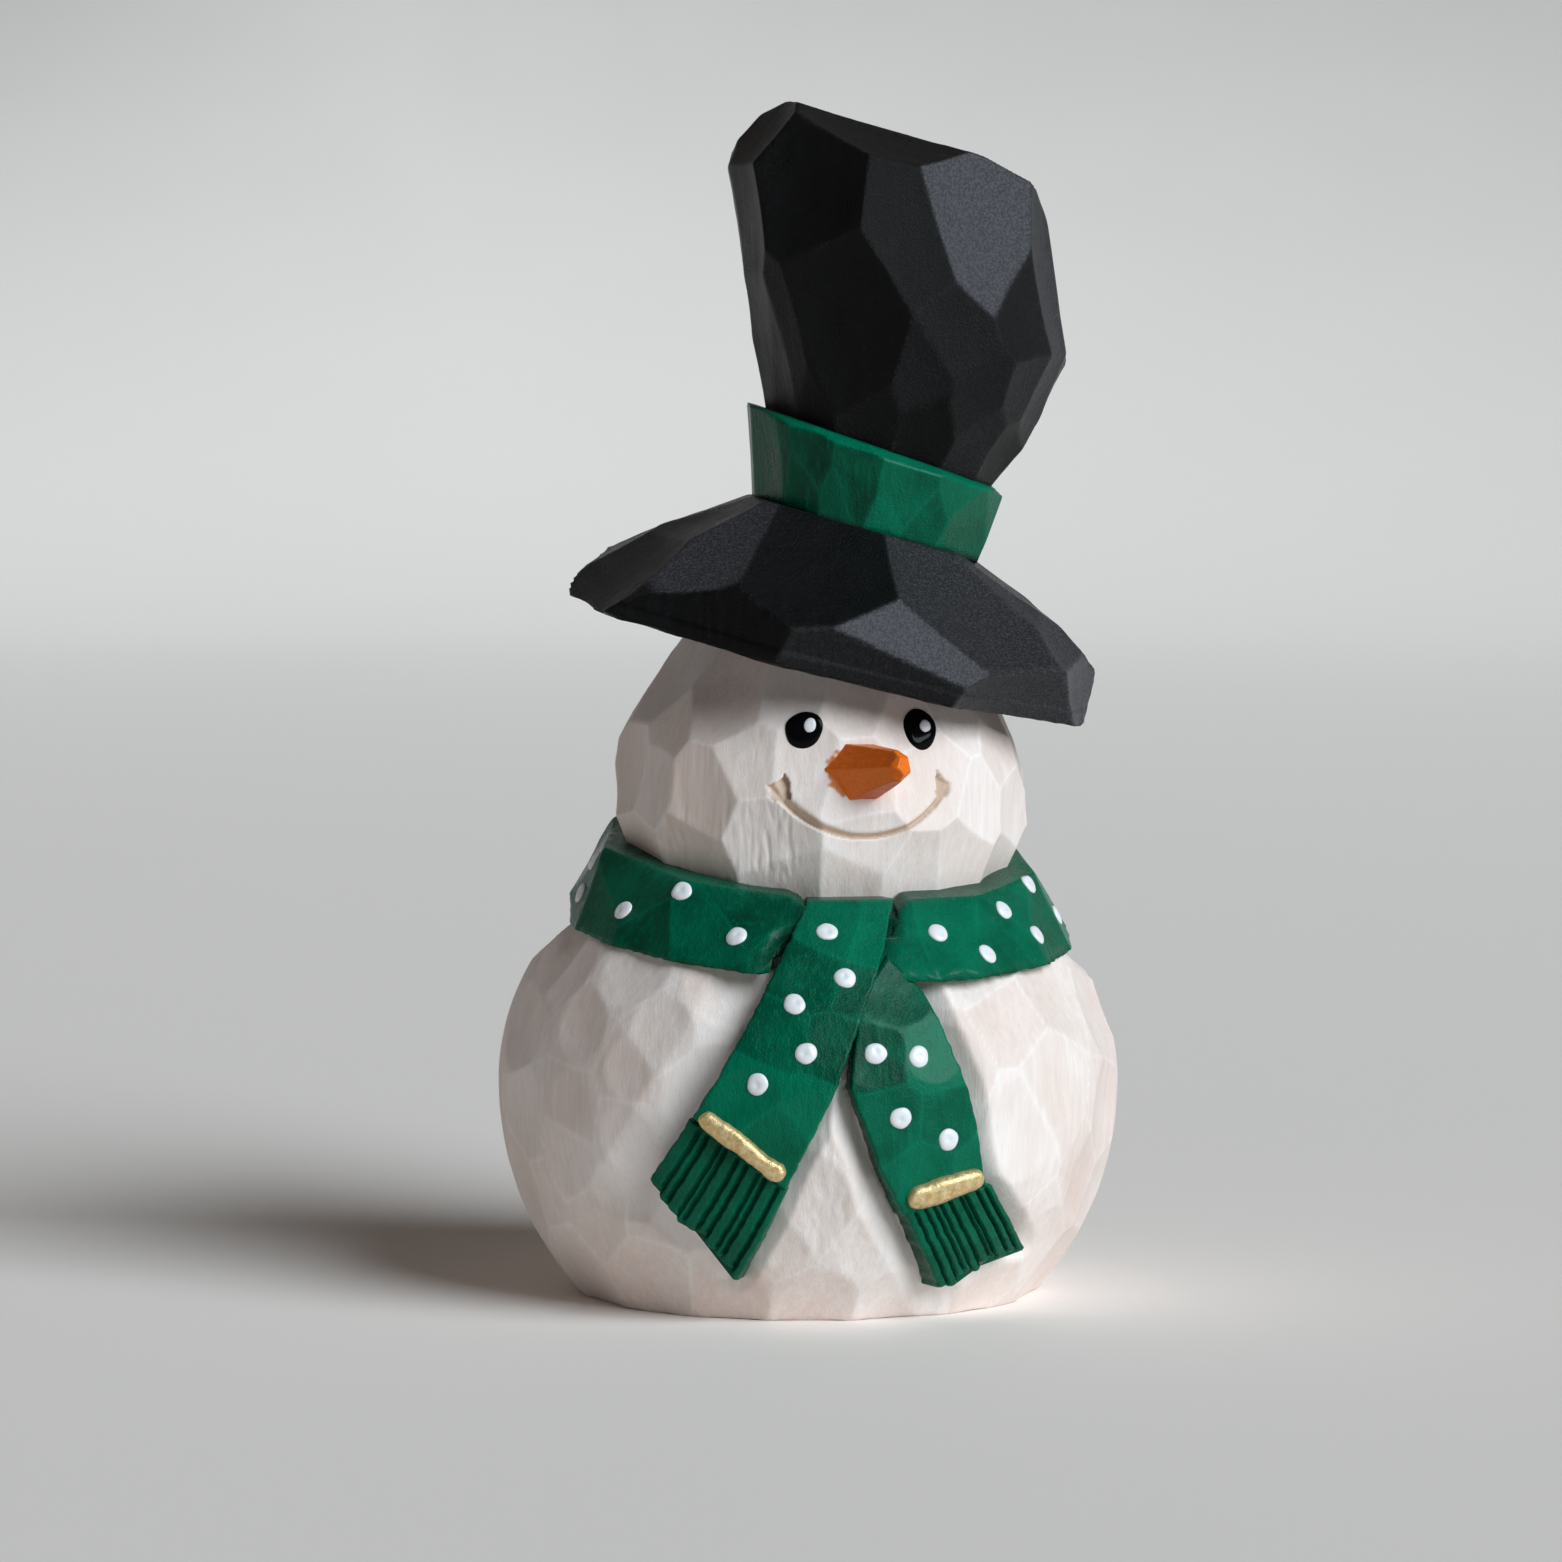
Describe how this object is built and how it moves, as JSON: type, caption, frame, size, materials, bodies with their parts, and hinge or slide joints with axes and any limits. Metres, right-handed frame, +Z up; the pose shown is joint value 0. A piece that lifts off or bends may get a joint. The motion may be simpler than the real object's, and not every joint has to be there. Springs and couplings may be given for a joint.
{
  "type": "carved wooden snowman figure",
  "caption": "Faceted carved wooden snowman with a tall hat worn askew, a carrot nose and a crossed, dotted scarf; stands on its flat base.",
  "frame": {"origin": "centre of the flat underside of the body, on the surface that the figure stands on", "axes": "+Z up, -Y the way the face looks, +X the figure's own left"},
  "size_m": [0.0786, 0.0804, 0.1504],
  "materials": {
    "snow_wash": "thin white wash over pale carved linden, satin",
    "green_paint": "deep green acrylic paint on carved wood, semi-gloss",
    "black_paint": "black acrylic paint on carved wood, satin",
    "orange_paint": "orange acrylic paint on carved wood, semi-gloss",
    "gold_paint": "gold leaf paint, satin metallic",
    "white_enamel": "raised white paint drops, semi-gloss",
    "black_enamel": "raised black enamel, high gloss",
    "plain_dowel": "plain birch dowel, hidden inside"
  },
  "bodies": {
    "root": {"snow_body": "snow_wash", "snow_head": "snow_wash", "scarf_wrap": "green_paint", "scarf_tail_over": "green_paint", "scarf_tail_under": "green_paint", "fringe_over": "green_paint", "fringe_under": "green_paint", "gold_stripe_over": "gold_paint", "gold_stripe_under": "gold_paint", "hat_brim": "black_paint", "hat_band": "green_paint", "hat_crown": "black_paint", "carrot_nose": "orange_paint", "eye_left": "black_enamel", "eye_right": "black_enamel", "eye_glint_left": "white_enamel", "eye_glint_right": "white_enamel", "neck_dowel": "plain_dowel", "hat_dowel": "plain_dowel", "scarf_dot_01": "white_enamel", "scarf_dot_02": "white_enamel", "scarf_dot_03": "white_enamel", "scarf_dot_04": "white_enamel", "scarf_dot_05": "white_enamel", "scarf_dot_06": "white_enamel", "scarf_dot_07": "white_enamel", "scarf_dot_08": "white_enamel", "scarf_dot_09": "white_enamel", "scarf_dot_10": "white_enamel", "scarf_dot_11": "white_enamel", "scarf_dot_12": "white_enamel", "scarf_dot_13": "white_enamel", "scarf_dot_14": "white_enamel", "scarf_dot_15": "white_enamel", "scarf_dot_16": "white_enamel", "scarf_dot_17": "white_enamel", "scarf_dot_18": "white_enamel", "scarf_dot_19": "white_enamel", "scarf_dot_20": "white_enamel", "scarf_dot_21": "white_enamel", "scarf_dot_22": "white_enamel", "scarf_dot_23": "white_enamel", "scarf_dot_24": "white_enamel", "scarf_dot_25": "white_enamel", "scarf_dot_26": "white_enamel", "scarf_dot_27": "white_enamel", "scarf_dot_28": "white_enamel", "scarf_dot_29": "white_enamel"}
  },
  "joints": []
}
